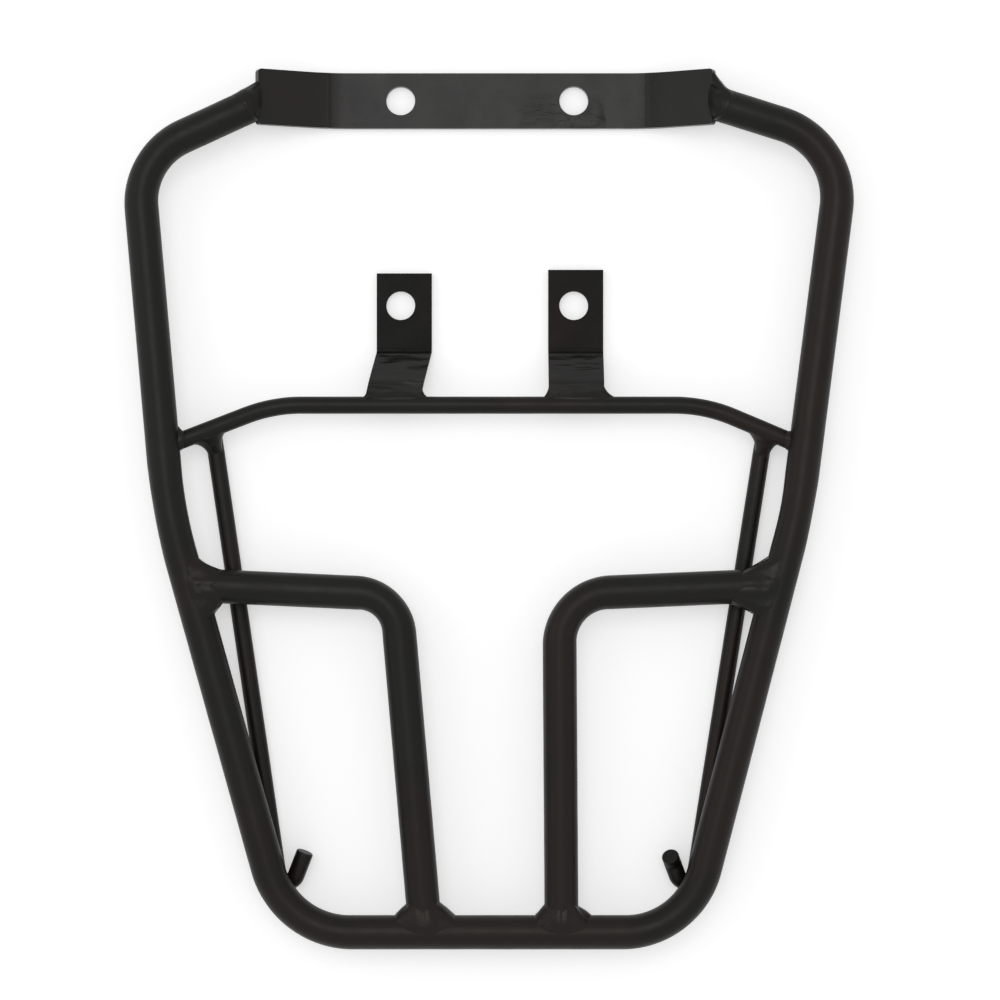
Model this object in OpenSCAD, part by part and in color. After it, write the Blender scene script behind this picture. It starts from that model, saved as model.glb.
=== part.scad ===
/* [Mounting holes] */
// Distance between the left and the right hole of each row
hole_pitch = 63; // [50:0.5:80]
// Distance between the front row, in the strap, and the rear row, in the tabs
row_pitch = 74.5; // [65:0.5:85]
// Diameter of each mounting hole
hole_d = 10.5; // [6:0.1:12]

/* [Flat bar] */
// Width of the flat bar of the strap and the tabs
bar_w = 20; // [18:0.5:26]
// Thickness of the flat bar
bar_t = 3; // [2:0.25:4]
// Inside radius of each fold in the flat bar
bar_fold_r = 3; // [2:0.5:5]

/* [Front strap] */
// Reach of the level part to the left of the centre line
strap_flat_left = 57.6; // [50:0.1:64]
// Reach of the level part to the right of the centre line
strap_flat_right = 58.5; // [50:0.1:64]
// Reach of the raised left end
strap_end_left = 82.9; // [78:0.1:90]
// Reach of the raised right end
strap_end_right = 81.7; // [78:0.1:90]

/* [Tabs] */
// Distance from the hole to the free end of the left tab
tab_nose_left = 11.7; // [9:0.1:16]
// Distance from the hole to the free end of the right tab
tab_nose_right = 13; // [9:0.1:16]
// How far the left tab sits to the right of its hole
tab_shift_left = 1.3; // [-3:0.1:3]
// How far the right tab sits to the right of its hole
tab_shift_right = 0.7; // [-3:0.1:3]
// How far the foot of the left tab leans to the left
tab_lean_left = 4.4; // [0:0.1:6]
// How far the foot of the right tab leans to the left
tab_lean_right = 0; // [0:0.1:6]
// Length of the foot, from the middle of the cross rod to the fold
tab_foot = 8; // [7:0.1:10]
// Length of the sloping part, seen from above
tab_slope = 11.6; // [9:0.1:13]

/* [Tube] */
// Outside diameter of the main tube and the inner tubes
tube_od = 12; // [10:0.1:13]
// Wall of the tubes
tube_wall = 1.5; // [1:0.1:2.5]
// Height of the tube centres above the mounting face
tube_rise = 13.5; // [12.5:0.1:18]
// Length over which each end of the main tube is pressed flat
pinch_l = 6; // [4:0.5:14]
// Width of the pressed end
pinch_w = 13; // [12.5:0.1:16]
// Thickness of the pressed end
pinch_t = 9.6; // [6:0.1:11]

/* [Main tube] */
// How far behind the middle of the strap the tube's ends meet it
seat_back = 2.2; // [0:0.1:3]
// Reach of the left shoulder corner from the centre line
shoulder_left = 126; // [115:0.1:140]
// Reach of the right shoulder corner from the centre line
shoulder_right = 128.7; // [115:0.1:140]
// How far the left shoulder corner lies behind the middle of the strap
shoulder_drop_left = 22; // [12:0.1:28]
// How far the right shoulder corner lies behind the middle of the strap
shoulder_drop_right = 17; // [12:0.1:28]
// Bend radius of the left shoulder, at the tube's middle
shoulder_r_left = 26; // [20:0.5:32]
// Bend radius of the right shoulder, at the tube's middle
shoulder_r_right = 28; // [20:0.5:32]
// Reach of the left waist bend from the centre line
waist_left = 114.7; // [105:0.1:122]
// Reach of the right waist bend from the centre line
waist_right = 111.7; // [105:0.1:122]
// Distance of the waist bends behind the middle of the mounting holes
waist_back = 112.2; // [105:0.1:120]
// Bend radius of the waist, at the tube's middle
waist_r = 200; // [150:5:210]
// Half the distance between the rear corners
rear_half = 72.5; // [65:0.1:85]
// Distance of the rear bar behind the middle of the mounting holes
rear_back = 263.6; // [250:0.1:280]
// Bend radius of the left rear corner, at the tube's middle
rear_r_left = 31; // [20:0.5:36]
// Bend radius of the right rear corner, at the tube's middle
rear_r_right = 30; // [20:0.5:36]

/* [Inner tubes] */
// Distance of the inner tubes' corners behind the middle of the mounting holes
inner_back = 142; // [136:0.1:150]
// How far the outer end of each inner tube lies in front of its corner
inner_sweep = 3.4; // [0:0.1:6]
// Reach of the left inner tube's corner from the centre line
inner_left = 32.8; // [26:0.1:40]
// Reach of the right inner tube's corner from the centre line
inner_right = 26; // [20:0.1:34]
// Reach of the left inner tube's foot from the centre line
inner_foot_left = 22.2; // [16:0.1:34]
// Reach of the right inner tube's foot from the centre line
inner_foot_right = 26.8; // [16:0.1:34]
// Bend radius of the left inner tube, at the tube's middle
inner_r_left = 15.5; // [13:0.5:22]
// Bend radius of the right inner tube, at the tube's middle
inner_r_right = 18.5; // [13:0.5:22]

/* [Rods] */
// Diameter of the cross rod and the side rails
rod_d = 6; // [5:0.1:7]
// How far the cross rod's middle lies below the tubes' middle
rod_drop = 2; // [1:0.1:2.5]
// Distance of the cross rod behind the middle of the mounting holes
cross_back = 73.8; // [71:0.1:78]
// How far the ends of the cross rod lie behind its middle part
cross_sweep = 15.2; // [10:0.1:20]
// Reach of the left bend of the cross rod from the centre line
cross_bend_left = 77.3; // [66:0.1:84]
// Reach of the right bend of the cross rod from the centre line
cross_bend_right = 78.6; // [66:0.1:84]
// Bend radius of the cross rod, at the rod's middle
cross_r = 55; // [30:1:70]

/* [Side rails] */
// Reach of the left rail's front end from the centre line
rail_front_left = 99.7; // [94:0.1:104]
// Reach of the right rail's front end from the centre line
rail_front_right = 100.8; // [94:0.1:104]
// How far the rails lie inside the main tube's middle at the hooks
rail_inset = 2; // [1:0.1:4]
// Distance from the start of each hook to the rear bar's middle
hook_ahead = 20.2; // [18:0.1:30]
// Length of the raised nose at the front of each rail
nose_l = 9; // [7:0.5:14]
// Bend radius of the nose, at the rod's middle
nose_r = 30; // [15:1:40]
// Bend radius of the hooks, at the rod's middle
hook_r = 3.6; // [3.4:0.1:4.5]
// Angle through which the hooks turn back
hook_turn = 150; // [130:1:165]
// Tilt of the hooks' plane, up towards the centre line
hook_tilt = 12; // [5:1:15]
// Length of the left hook's tip, which is straight
tip_left = 9.4; // [6:0.1:12]
// Length of the right hook's tip up to its upward bend
tip_right = 4.7; // [4:0.1:7]
// Length of the right hook's tip past its upward bend
tip_rise_l = 4.7; // [4:0.1:7]
// Upward slope of the right hook's tip
tip_rise = 40; // [15:1:45]
// Bend radius of the right hook's tip, at the rod's middle
tip_r = 6; // [4:0.5:8]

/* [Welds] */
// How far a tube's weld stands out where it meets the other tube
tube_leg = 2.8; // [1:0.1:4]
// How far the weld at the side of an inner tube stands out along the main tube
side_leg = 4.4; // [2:0.1:6]
// Length of the weld along the left inner tube at the side
side_weld_left = 5; // [4:0.5:8]
// Length of the weld along the right inner tube at the side
side_weld_right = 8; // [4:0.5:9]
// Length of the weld along an inner tube at the rear bar
foot_weld_l = 4; // [3:0.5:7]
// How far a tube's weld stands out above and below
weld_cap = 0.6; // [0.2:0.1:1]
// How far a rod's weld stands out where it meets the tube
rod_leg = 2; // [1:0.1:3]
// Length of the weld along the cross rod
rod_weld_l = 4.5; // [3:0.5:7]
// How far the weld round a pressed end stands out where it meets the strap
strap_leg = 1.6; // [1:0.1:3]
// Length of the weld along the pressed end of the main tube
strap_weld_l = 4; // [2:0.5:6]
// Radius of the weld bead along the foot of a tab
tab_bead_r = 1.7; // [1:0.1:2.2]
// Radius of the weld at the outer corner of each tab's foot
tab_ear_r = 3.4; // [2:0.1:4.5]
// Radius of the weld between a rail and the cross rod
nose_weld_r = 4.4; // [3.5:0.1:5]
// Radius of the weld between a rail and an inner tube
rail_weld_r = 2.9; // [2:0.1:3.2]
// Length of the weld between a rail and the main tube
rail_weld_l = 12; // [6:0.5:16]

/* [Hidden] */
$fn = 64;
paint = [0.11, 0.11, 0.115];
weld_paint = [0.15, 0.15, 0.155];
left = -1;
right = 1;
up = [0, 0, 1];
// Each bend ends in a joint line this wide and this deep
line_w = 0.1;
line_depth = 0.02;
// Room, all told, between two round pieces that meet and are welded
fit_gap = 0.2;
// Thickness left at the thin edge of a weld
weld_edge = 0.15;
// Extra length of cutting shapes
over = 5;
front_y = row_pitch / 2;
tab_row_y = -row_pitch / 2;
tube_z = tube_rise;
rod_z = tube_z - rod_drop;
rail_z = tube_z - tube_od / 2 - rod_d / 2 - fit_gap;
nose_z = rod_z - rod_d - fit_gap;
fold_r = bar_fold_r + bar_t / 2;

// Routes of the bent pieces, as corner points
strap_path = [[-strap_end_left, front_y, tube_z], [-strap_flat_left, front_y, bar_t / 2],
    [strap_flat_right, front_y, bar_t / 2], [strap_end_right, front_y, tube_z]];
loop_path = [strap_path[0] - [0, seat_back, 0],
    [-shoulder_left, front_y - shoulder_drop_left, tube_z],
    [-waist_left, -waist_back, tube_z],
    [-rear_half, -rear_back, tube_z],
    [rear_half, -rear_back, tube_z],
    [waist_right, -waist_back, tube_z],
    [shoulder_right, front_y - shoulder_drop_right, tube_z],
    strap_path[3] - [0, seat_back, 0]];
loop_radii = [shoulder_r_left, waist_r, rear_r_left, rear_r_right, waist_r, shoulder_r_right];
cross_end_y = -cross_back - cross_sweep;
cross_path = [at_height(on_loop(left, cross_end_y), rod_z),
    [-cross_bend_left, -cross_back, rod_z],
    [cross_bend_right, -cross_back, rod_z],
    at_height(on_loop(right, cross_end_y), rod_z)];
hook_y = -rear_back + hook_ahead;

function pick(side, a, b) = side == left ? a : b;
function unit(v) = v / norm(v);
function at_height(p, z) = [p[0], p[1], z];
// The point of the line from a to b where y has this value, and the same for x
function at_y(a, b, y) = a + (b - a) * (y - a[1]) / (b[1] - a[1]);
function at_x(a, b, x) = a + (b - a) * (x - a[0]) / (b[0] - a[0]);
// Shoulder, waist and rear corner on one side
function loop_side(side) = pick(side, [loop_path[1], loop_path[2], loop_path[3]],
    [loop_path[6], loop_path[5], loop_path[4]]);
function on_loop(side, y) = let (s = loop_side(side))
    y > s[1][1] ? at_y(s[0], s[1], y) : at_y(s[1], s[2], y);
// End and shoulder of the main tube on one side, and the outer end of the strap there
function loop_end(side) = pick(side, [loop_path[0], loop_path[1]], [loop_path[7], loop_path[6]]);
function strap_end(side) = pick(side, [strap_path[0], strap_path[1]], [strap_path[3], strap_path[2]]);
// Where the round part of the main tube stops and its pressed end begins
function pinch_start(side) = let (e = loop_end(side)) e[0] + unit(e[1] - e[0]) * pinch_l;
function inner_path(side) = [on_loop(side, -inner_back + inner_sweep),
    [side * pick(side, inner_left, inner_right), -inner_back, tube_z],
    [side * pick(side, inner_foot_left, inner_foot_right), -rear_back, tube_z]];
function inner_bend(side) = pick(side, inner_r_left, inner_r_right);
function cross_leg(side) = pick(side, [cross_path[0], cross_path[1]], [cross_path[3], cross_path[2]]);
// Front end of a rail, under the cross rod, and the start of its hook
function rail_start(side) = let (c = cross_leg(side))
    at_height(at_x(c[0], c[1], side * pick(side, rail_front_left, rail_front_right)), nose_z);
function rail_stop(side) = let (p = on_loop(side, hook_y))
    [p[0] - side * rail_inset, hook_y, rail_z];
function rail_level(side) = unit(rail_stop(side) - at_height(rail_start(side), rail_z));
// Only the right hook's tip is bent up
function rail_path(side) = let (
    a = rail_start(side),
    b = rail_stop(side),
    d = rail_level(side),
    inward = side * cross(d, up),
    sideways = cos(hook_tilt) * inward + sin(hook_tilt) * up,
    back = cos(hook_turn) * d + sin(hook_turn) * sideways,
    reach = hook_r * tan(hook_turn / 2),
    hook = b + d * reach,
    tip = hook + back * (reach + pick(side, tip_left, tip_right)),
    raised = tip + unit(back + up * tan(tip_rise)) * tip_rise_l)
    [a, at_height(a, rail_z) + d * nose_l, hook, tip, if (side == right) raised];
// Where a rail passes under the inner tube
function rail_crossing(side) = let (p = inner_path(side), r = rail_path(side),
    q = at_y(r[1], rail_stop(side), -inner_back + inner_sweep))
    at_x(p[0], p[1], q[0]);

// Corner by corner: heading, angle turned, axis of the bend, and what a bend takes off its legs
function heading(p, i) = unit(p[i + 1] - p[i]);
function turn(p, i) = acos(min(1, heading(p, i - 1) * heading(p, i)));
function axis(p, i) = unit(cross(heading(p, i - 1), heading(p, i)));
function setback(p, r, i) = i < 1 || i > len(p) - 2 ? 0 : r[i - 1] * tan(turn(p, i) / 2);
// Length of the straight leg from corner i, to a thousandth, so that the bend starts where it ends
function leg(p, r, i) =
    round(1000 * (norm(p[i + 1] - p[i]) - setback(p, r, i) - setback(p, r, i + 1))) / 1000;
function roll(p, i) = i < 2 ? 0 : atan2(
    axis(p, i) * cross(heading(p, i - 1), axis(p, i - 1)), axis(p, i) * axis(p, i - 1));
// Whether the bend at corner i lies in another plane than the one before
function leaves_plane(p, i) = abs(sin(roll(p, i))) > 0.001;

// Section of a tube, or of a solid rod where the wall is nothing
module round_section(d, wall = 0) {
    difference() {
        circle(d = d - 2 * $inset);
        if (wall > 0)
            circle(d = d - 2 * wall + 2 * $inset);
    }
}

module flat_section(w = bar_w) {
    square([bar_t - 2 * $inset, w - 2 * $inset], center = true);
}

// Puts its child at p, with the child's Z axis along d
module aim(p, d, side = up) {
    x = unit(cross(d, side));
    y = cross(d, x);
    translate(p)
        multmatrix([[x[0], y[0], d[0], 0], [x[1], y[1], d[1], 0], [x[2], y[2], d[2], 0], [0, 0, 0, 1]])
            children();
}

// A short inset length of the section, that bridges a joint line
module joint_line() {
    translate([0, 0, -2 * line_w])
        linear_extrude(4 * line_w)
            let ($inset = line_depth) children();
}

// One straight leg of a bent piece, the bend after it, and then the rest of the piece
module bent_from(p, r, i) {
    last = i == len(p) - 2;
    twisted = !last && leaves_plane(p, i + 1);
    start = i == 0 ? 0 : line_w;
    stop = leg(p, r, i) - (twisted ? line_w : 0);
    translate([0, 0, start])
        linear_extrude(stop - start)
            let ($inset = 0) children();
    if (i > 0)
        joint_line() children();
    if (!last)
        translate([0, 0, leg(p, r, i)]) rotate([0, 0, roll(p, i + 1)]) {
            if (twisted)
                translate([0, 0, -line_w / 2])
                    joint_line() children();
            translate([-r[i], 0, 0]) rotate([90, 0, 0])
                rotate_extrude(angle = turn(p, i + 1) - atan(line_w / r[i]))
                    translate([r[i], 0])
                        let ($inset = 0) children();
            translate([-r[i], 0, 0]) rotate([0, -turn(p, i + 1), 0]) translate([r[i], 0, 0])
                bent_from(p, r, i + 1) children();
        }
}

// A section bent along the corner points p with the bend radii r
module bent(p, r) {
    aim(p[0], heading(p, 0), axis(p, 1))
        bent_from(p, r, 0) children();
}

// Everything beyond the plane through p that d points away from
module beyond(p, d) {
    size = 2 * bar_w;
    aim(p, d)
        translate([-size / 2, -size / 2, 0])
            cube(size);
}

module past_strap_end(side) {
    e = strap_end(side);
    beyond(e[0], unit(e[1] - e[0]));
}

// The pressed end of the main tube, grown or shrunk by the wall
module pinch(side, shrink = 0) {
    e = loop_end(side);
    d = unit(e[0] - e[1]);
    round_d = tube_od - 2 * shrink - line_w;
    aim(pinch_start(side), d)
        hull($fn = 32) {
            translate([0, 0, -1])
                cylinder(h = 1, d = round_d);
            for (x = [-1, 1])
                translate([x * (pinch_w - pinch_t) / 2, 0, pinch_l])
                    cylinder(h = over, d = pinch_t - 2 * shrink);
        }
}

module main_tube_outline(wall = 0) {
    round_path = [pinch_start(left), for (i = [1:6]) loop_path[i], pinch_start(right)];
    bent(round_path, loop_radii)
        round_section(tube_od, wall);
}

// Stretches of the main tube, filled in, that other pieces are cut to fit
module loop_side_solid(side, gap = 0) {
    bent(loop_side(side), [waist_r])
        round_section(tube_od + gap);
}

module bar_between(a, b, d) {
    aim(a, unit(b - a))
        cylinder(h = norm(b - a), d = d);
}

module rear_bar_solid(gap = 0) {
    bar_between(loop_path[3], loop_path[4], tube_od + gap);
}

module loop_end_solid(side) {
    e = loop_end(side);
    bar_between(pinch_start(side) + (e[1] - e[0]) / 4, pinch_start(side), tube_od);
    pinch(side);
}

module inner_tube_solid(side) {
    bent(inner_path(side), [inner_bend(side)])
        round_section(tube_od);
}

module cross_rod_solid() {
    bent(cross_path, [cross_r, cross_r])
        round_section(rod_d);
}

module rail_solid(side) {
    bent(rail_path(side), [nose_r, hook_r, tip_r])
        round_section(rod_d);
}

// The level run of a rail, from its nose to its hook
module rail_run(side) {
    bar_between(rail_path(side)[1], rail_stop(side), rod_d);
}

module main_tube() {
    color(paint)
        difference() {
            union() {
                main_tube_outline(tube_wall);
                for (side = [left, right])
                    difference() {
                        pinch(side);
                        pinch(side, tube_wall);
                    }
            }
            for (side = [left, right])
                past_strap_end(side);
        }
}

module front_strap() {
    color(paint)
        difference() {
            bent(strap_path, [fold_r, fold_r])
                flat_section();
            for (x = [-hole_pitch / 2, hole_pitch / 2])
                translate([x, front_y, -over])
                    cylinder(h = bar_t + 2 * over, d = hole_d);
        }
}

module cross_rod() {
    color(paint)
        difference() {
            cross_rod_solid();
            for (side = [left, right])
                loop_side_solid(side);
        }
}

// Outline of a tab from above, with its hole at the origin
module tab_outline(shift, lean, nose) {
    fold_y = -cross_back + tab_foot + tab_slope - tab_row_y;
    foot_y = -cross_back - tab_row_y;
    half = bar_w / 2;
    polygon([[shift - half, nose], [shift + half, nose], [shift + half, fold_y],
        [shift - lean + half, foot_y], [shift - lean - half, foot_y], [shift - half, fold_y]]);
}

module tab_solid(side) {
    shift = pick(side, tab_shift_left, tab_shift_right);
    lean = pick(side, tab_lean_left, tab_lean_right);
    nose = pick(side, tab_nose_left, tab_nose_right);
    hole_x = side * hole_pitch / 2;
    fold_y = -cross_back + tab_foot;
    path = [[hole_x, -cross_back, rod_z], [hole_x, fold_y, rod_z],
        [hole_x, fold_y + tab_slope, bar_t / 2], [hole_x, tab_row_y + nose + over, bar_t / 2]];
    intersection() {
        bent(path, [fold_r, fold_r])
            flat_section(3 * bar_w);
        translate([hole_x, tab_row_y, -over])
            linear_extrude(tube_z + 2 * over)
                tab_outline(shift, lean, nose);
    }
}

module tab(side) {
    color(paint)
        difference() {
            tab_solid(side);
            translate([side * hole_pitch / 2, tab_row_y, -over])
                cylinder(h = bar_t + 2 * over, d = hole_d);
            bar_between(cross_path[1], cross_path[2], rod_d);
        }
}

module inner_tube(side) {
    color(paint)
        difference() {
            bent(inner_path(side), [inner_bend(side)])
                round_section(tube_od, tube_wall);
            loop_side_solid(side, fit_gap);
            rear_bar_solid(fit_gap);
        }
}

module side_rail(side) {
    color(paint)
        rail_solid(side);
}

// A weld round the end of a bar of diameter d that starts at p, in the middle of the other bar.
// It stands out to both sides, and by no more than cap above and below.
module weld_cone(p, dir, d, other_d, stand, cap, l) {
    sunk = other_d / 4;
    base = d / 2 + weld_edge;
    aim(p + dir * (other_d / 2 - sunk), dir)
        hull($fn = 32) {
            scale([(base + stand) / base, (base + cap) / base, 1])
                cylinder(h = sunk, r = base);
            translate([0, 0, sunk + l - line_w])
                cylinder(h = line_w, r = base);
        }
}

module strap_weld(side) {
    e = loop_end(side);
    d = unit(e[1] - e[0]);
    color(weld_paint)
        difference() {
            aim(e[0] - d * bar_t, d)
                hull($fn = 32)
                    for (x = [-1, 1])
                        translate([x * (pinch_w - pinch_t) / 2, 0, 0])
                            cylinder(h = strap_weld_l + bar_t, d1 = pinch_t + strap_leg, d2 = pinch_t);
            loop_end_solid(side);
            past_strap_end(side);
        }
}

module cross_rod_weld(side) {
    c = cross_leg(side);
    color(weld_paint)
        difference() {
            weld_cone(c[0], unit(c[1] - c[0]), rod_d, tube_od, rod_leg, rod_leg, rod_weld_l);
            bar_between(c[0], c[1], rod_d);
            loop_side_solid(side);
            rail_front_drop(side);
        }
}

module inner_side_cone(side) {
    p = inner_path(side);
    weld_cone(p[0], unit(p[1] - p[0]), tube_od, tube_od, side_leg, weld_cap,
        pick(side, side_weld_left, side_weld_right));
}

module inner_side_weld(side) {
    p = inner_path(side);
    color(weld_paint)
        difference() {
            inner_side_cone(side);
            bar_between(p[0], p[1], tube_od);
            loop_side_solid(side);
            rail_run(side);
        }
}

module inner_foot_weld(side) {
    p = inner_path(side);
    color(weld_paint)
        difference() {
            weld_cone(p[2], unit(p[1] - p[2]), tube_od, tube_od, tube_leg, weld_cap, foot_weld_l);
            bar_between(p[2], p[1], tube_od);
            rear_bar_solid();
        }
}

// Cuts a weld at the foot of a tab to fit the tab and the cross rod
module fit_to_tab(side) {
    difference() {
        children();
        tab_solid(side);
        bar_between(cross_path[1], cross_path[2], rod_d);
    }
}

module tab_weld(side) {
    lean = pick(side, tab_lean_left, tab_lean_right);
    shift = pick(side, tab_shift_left, tab_shift_right);
    middle = side * hole_pitch / 2 + shift - lean;
    reach = bar_w / 2 + tab_bead_r / 2;
    seat_y = -cross_back + rod_d / 2;
    seat_z = rod_z + bar_t / 2;
    color(weld_paint)
        union() {
            fit_to_tab(side)
                bar_between([middle - reach, seat_y, seat_z], [middle + reach, seat_y, seat_z],
                    2 * tab_bead_r);
            fit_to_tab(side)
                translate([middle + reach, seat_y, rod_z + tab_bead_r / 2])
                    sphere(r = tab_ear_r);
        }
}

module rail_front_drop(side) {
    p = rail_start(side);
    translate([p[0], p[1] - rod_d / 2, (rod_z + nose_z) / 2])
        sphere(r = nose_weld_r);
}

module rail_front_weld(side) {
    c = cross_leg(side);
    color(weld_paint)
        difference() {
            rail_front_drop(side);
            rail_solid(side);
            bar_between(c[0], c[1], rod_d);
        }
}

module rail_middle_weld(side) {
    p = inner_path(side);
    color(weld_paint)
        difference() {
            translate(at_height(rail_crossing(side), tube_z - (tube_od + fit_gap) / 2))
                sphere(r = rail_weld_r);
            rail_run(side);
            bar_between(p[0], p[1], tube_od);
            inner_side_cone(side);
        }
}

module rail_rear_weld(side) {
    b = rail_stop(side);
    d = rail_level(side);
    s = loop_side(side);
    seat = unit(on_loop(side, hook_y) - b) * rod_d / 2;
    a = b + seat - d * rail_weld_l;
    color(weld_paint)
        difference() {
            bar_between(a, a + d * (rail_weld_l - rail_weld_r), 2 * rail_weld_r);
            rail_run(side);
            bar_between(s[1], s[2], tube_od);
        }
}

module left_tab() tab(left);
module right_tab() tab(right);
module left_inner_tube() inner_tube(left);
module right_inner_tube() inner_tube(right);
module left_side_rail() side_rail(left);
module right_side_rail() side_rail(right);
module left_strap_weld() strap_weld(left);
module right_strap_weld() strap_weld(right);
module left_cross_rod_weld() cross_rod_weld(left);
module right_cross_rod_weld() cross_rod_weld(right);
module left_inner_side_weld() inner_side_weld(left);
module right_inner_side_weld() inner_side_weld(right);
module left_inner_foot_weld() inner_foot_weld(left);
module right_inner_foot_weld() inner_foot_weld(right);
module left_tab_weld() tab_weld(left);
module right_tab_weld() tab_weld(right);
module left_rail_front_weld() rail_front_weld(left);
module right_rail_front_weld() rail_front_weld(right);
module left_rail_middle_weld() rail_middle_weld(left);
module right_rail_middle_weld() rail_middle_weld(right);
module left_rail_rear_weld() rail_rear_weld(left);
module right_rail_rear_weld() rail_rear_weld(right);

main_tube();
front_strap();
cross_rod();
left_tab();
right_tab();
left_inner_tube();
right_inner_tube();
left_side_rail();
right_side_rail();
left_strap_weld();
right_strap_weld();
left_cross_rod_weld();
right_cross_rod_weld();
left_inner_side_weld();
right_inner_side_weld();
left_inner_foot_weld();
right_inner_foot_weld();
left_tab_weld();
right_tab_weld();
left_rail_front_weld();
right_rail_front_weld();
left_rail_middle_weld();
right_rail_middle_weld();
left_rail_rear_weld();
right_rail_rear_weld();
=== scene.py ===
"""Looks of a welded motorcycle luggage rack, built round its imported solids."""
import math

import bmesh
import bpy
from mathutils import Matrix, Vector, noise


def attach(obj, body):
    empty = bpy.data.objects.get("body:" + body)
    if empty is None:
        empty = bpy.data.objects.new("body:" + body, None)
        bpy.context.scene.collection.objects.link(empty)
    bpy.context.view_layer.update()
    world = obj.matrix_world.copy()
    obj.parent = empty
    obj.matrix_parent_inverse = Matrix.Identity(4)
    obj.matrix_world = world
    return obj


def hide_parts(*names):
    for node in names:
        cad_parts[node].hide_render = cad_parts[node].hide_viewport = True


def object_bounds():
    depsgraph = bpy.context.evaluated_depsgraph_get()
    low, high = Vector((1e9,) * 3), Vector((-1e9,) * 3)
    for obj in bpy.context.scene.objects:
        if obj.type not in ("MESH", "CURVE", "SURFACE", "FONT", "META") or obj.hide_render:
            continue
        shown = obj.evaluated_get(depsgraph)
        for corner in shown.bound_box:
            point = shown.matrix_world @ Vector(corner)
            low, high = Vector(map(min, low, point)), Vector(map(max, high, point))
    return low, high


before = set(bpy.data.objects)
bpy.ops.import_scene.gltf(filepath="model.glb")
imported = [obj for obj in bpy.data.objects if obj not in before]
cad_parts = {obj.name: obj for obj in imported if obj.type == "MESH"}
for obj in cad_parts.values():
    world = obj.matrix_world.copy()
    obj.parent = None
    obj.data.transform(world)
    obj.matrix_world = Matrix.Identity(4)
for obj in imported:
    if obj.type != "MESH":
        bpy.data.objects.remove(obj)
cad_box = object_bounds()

# Sizes in millimetres, in the same frame as the solids
MM = 0.001
LEFT, RIGHT = -1, 1
SIDES = (LEFT, RIGHT)
NAMES = {LEFT: "left", RIGHT: "right"}
ACROSS = Vector((1, 0, 0))
FORWARD = Vector((0, 1, 0))
UP = Vector((0, 0, 1))
TUBE_R = 6.0
ROD_R = 3.0
TUBE_Z = 13.5
ROD_Z = 11.5
RAIL_Z = 4.3
NOSE_Z = 5.3
FRONT_Y = 37.25
REAR_Y = -263.6
BAR_T = 3.0
BAR_W = 20.0
# Half length of the soft bend at each fold of the strap, and the cuts that shape it
FOLD_W = 7.5
FOLD_STEPS = 6
# Thickness of the paint over the tubes and rods
COAT = 0.12
# How far the ends of tubes and of the cross rod go into the tube that they meet
TUBE_SINK = 0.5
ROD_SINK = 0.4
# Radius of the rim at both ends of the side rails
RIM_R = 0.5
# Length, width and height of the main tube's pressed ends
PRESSED_L = 5.0
PRESSED_W = 12.6
PRESSED_T = 9.8

# The camera stands over this point, this far above the tubes
CAMERA_X = 4.64
CAMERA_Y = -108.0
CAMERA_RISE = 1000.0
# The floor's own grey, the light that it adds where it is seen, and its distance below the rack
FLOOR_GREY = 0.82
FLOOR_GLOW = 0.42
FLOOR_GAP = 0.2
# How strongly the world lights the object, and how strongly it is seen
WORLD_LIGHT = 0.6
WORLD_SEEN = 1.0

# Where the pieces run and how they bend, side by side where the two sides differ
STRAP_END = {LEFT: -82.9, RIGHT: 81.7}
STRAP_FLAT = {LEFT: -57.6, RIGHT: 58.5}
SEAT_BACK = 2.2
SHOULDER = {LEFT: (-126.0, FRONT_Y - 22.0), RIGHT: (128.7, FRONT_Y - 17.0)}
SHOULDER_R = {LEFT: 26.0, RIGHT: 28.0}
WAIST = {LEFT: (-114.7, -112.2), RIGHT: (111.7, -112.2)}
WAIST_R = 200.0
REAR_X = 72.5
REAR_R = {LEFT: 31.0, RIGHT: 30.0}

INNER_Y = -142.0
INNER_SWEEP = 3.4
INNER_X = {LEFT: 32.8, RIGHT: 26.0}
INNER_FOOT = {LEFT: 22.2, RIGHT: 26.8}
INNER_R = {LEFT: 15.5, RIGHT: 18.5}

CROSS_Y = -73.8
CROSS_SWEEP = 15.2
CROSS_BEND = {LEFT: 77.3, RIGHT: 78.6}
CROSS_R = 55.0

RAIL_X = {LEFT: 99.7, RIGHT: 100.8}
RAIL_INSET = 2.0
HOOK_AHEAD = 20.2
NOSE_L = 9.0
NOSE_R = 30.0
HOOK_R = 3.6
HOOK_TURN = 150.0
HOOK_TILT = 12.0
TIP_L = {LEFT: 9.4, RIGHT: 4.7}
TIP_RISE_L = 4.7
TIP_RISE = 40.0
TIP_R = 6.0

HOLE_X = 31.5
TAB_FOOT = 8.0
TAB_SLOPE = 11.6
TAB_SHIFT = {LEFT: 1.3, RIGHT: 0.7}
TAB_LEAN = {LEFT: 4.4, RIGHT: 0.0}


# ---- camera, floor and light -------------------------------------------------

def make_camera():
    """Straight down, a metre above the tubes, square to the strap, as in the photograph."""
    data = bpy.data.cameras.new("camera")
    data.sensor_width = 36.0
    data.lens = 100.0
    data.clip_start = 0.01
    data.clip_end = 20.0
    camera = bpy.data.objects.new("camera", data)
    camera.location = (CAMERA_X * MM, CAMERA_Y * MM, (TUBE_Z + CAMERA_RISE) * MM)
    bpy.context.collection.objects.link(camera)
    bpy.context.scene.camera = camera


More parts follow.
